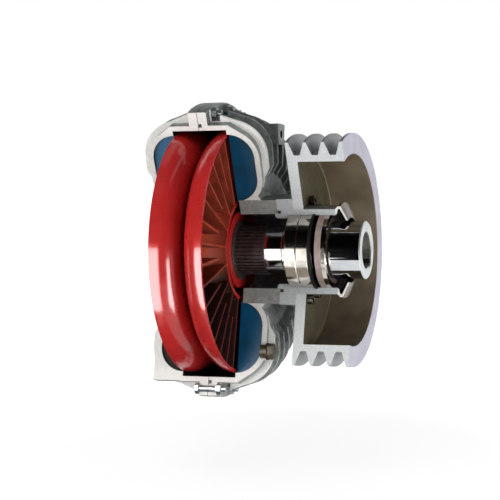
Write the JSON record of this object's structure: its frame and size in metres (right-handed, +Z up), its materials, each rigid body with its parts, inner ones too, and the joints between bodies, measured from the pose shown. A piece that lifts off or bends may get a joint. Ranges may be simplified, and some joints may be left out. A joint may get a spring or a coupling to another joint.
{
  "type": "fluid coupling",
  "caption": "Sectioned double-circuit fluid coupling: ribbed split casing with V-belt pulley on ball bearings round a hollow shaft that drives two back-to-back vaned runners.",
  "frame": {"origin": "centre of the motor bore where its cylindrical wall begins, just inside the chamfer of the shaft end", "axes": "+X along the axis out of the motor bore, +Z up, the display cut faces -Y"},
  "size_m": [0.2308, 0.2875, 0.313],
  "materials": {
    "cast_aluminium": "sand-cast, cut faces machined, bowls painted blue",
    "pulley_iron": "turned, recess left as cast",
    "housing_iron": "turned",
    "red_paint": "red enamel over cast metal",
    "shaft_steel": "ground and polished",
    "bearing_steel": "ground",
    "spring_steel": "bright spring steel",
    "zinc_steel": "zinc plated",
    "black_steel": "black oxide",
    "cap_steel": "pressed sheet",
    "cage_brass": "machined",
    "plug_brass": "dark bronze",
    "copper_washer": "soft copper",
    "black_rubber": "moulded nitrile",
    "seal_rubber": "moulded brown rubber"
  },
  "bodies": {
    "casing": {"left_casing": "cast_aluminium", "right_casing": "cast_aluminium", "flange_o_ring": "black_rubber", "flange_bolts": "zinc_steel", "flange_nuts": "zinc_steel", "fusible_plug": "plug_brass", "filler_plug": "zinc_steel", "centre_plug": "zinc_steel", "plug_washers": "copper_washer", "hub_o_ring": "black_rubber", "bearing_housing": "housing_iron", "pulley": "pulley_iron", "pulley_screws": "zinc_steel", "bearing_a_outer_race": "bearing_steel", "bearing_b_outer_race": "bearing_steel", "housing_circlip": "spring_steel", "shaft_seal": "seal_rubber", "seal_keeper": "bearing_steel", "end_cap": "cap_steel"},
    "rotor": {"hollow_shaft": "shaft_steel", "runner_hub": "red_paint", "left_runner": "red_paint", "right_runner": "red_paint", "runner_bolts": "black_steel", "runner_nuts": "black_steel", "left_hub_ring": "black_steel", "right_hub_ring": "black_steel", "shaft_circlip": "spring_steel", "bearing_a_inner_race": "bearing_steel", "bearing_b_inner_race": "bearing_steel"},
    "ball_set_a": {"bearing_a_balls": "bearing_steel", "bearing_a_cage": "cage_brass"},
    "ball_set_b": {"bearing_b_balls": "bearing_steel", "bearing_b_cage": "cage_brass"}
  },
  "joints": [
    {"name": "shaft_spin", "type": "hinge", "parent": "casing", "child": "rotor", "pos_m": [0, 0, 0], "axis": [1, 0, 0], "continuous": true},
    {"name": "ball_set_a_orbit", "type": "hinge", "parent": "casing", "child": "ball_set_a", "pos_m": [0, 0, 0], "axis": [1, 0, 0], "continuous": true},
    {"name": "ball_set_b_orbit", "type": "hinge", "parent": "casing", "child": "ball_set_b", "pos_m": [0, 0, 0], "axis": [1, 0, 0], "continuous": true}
  ],
  "couplings": [
    {"joint": "ball_set_a_orbit", "follows": "shaft_spin", "ratio": 0.44667},
    {"joint": "ball_set_b_orbit", "follows": "shaft_spin", "ratio": 0.44667}
  ]
}
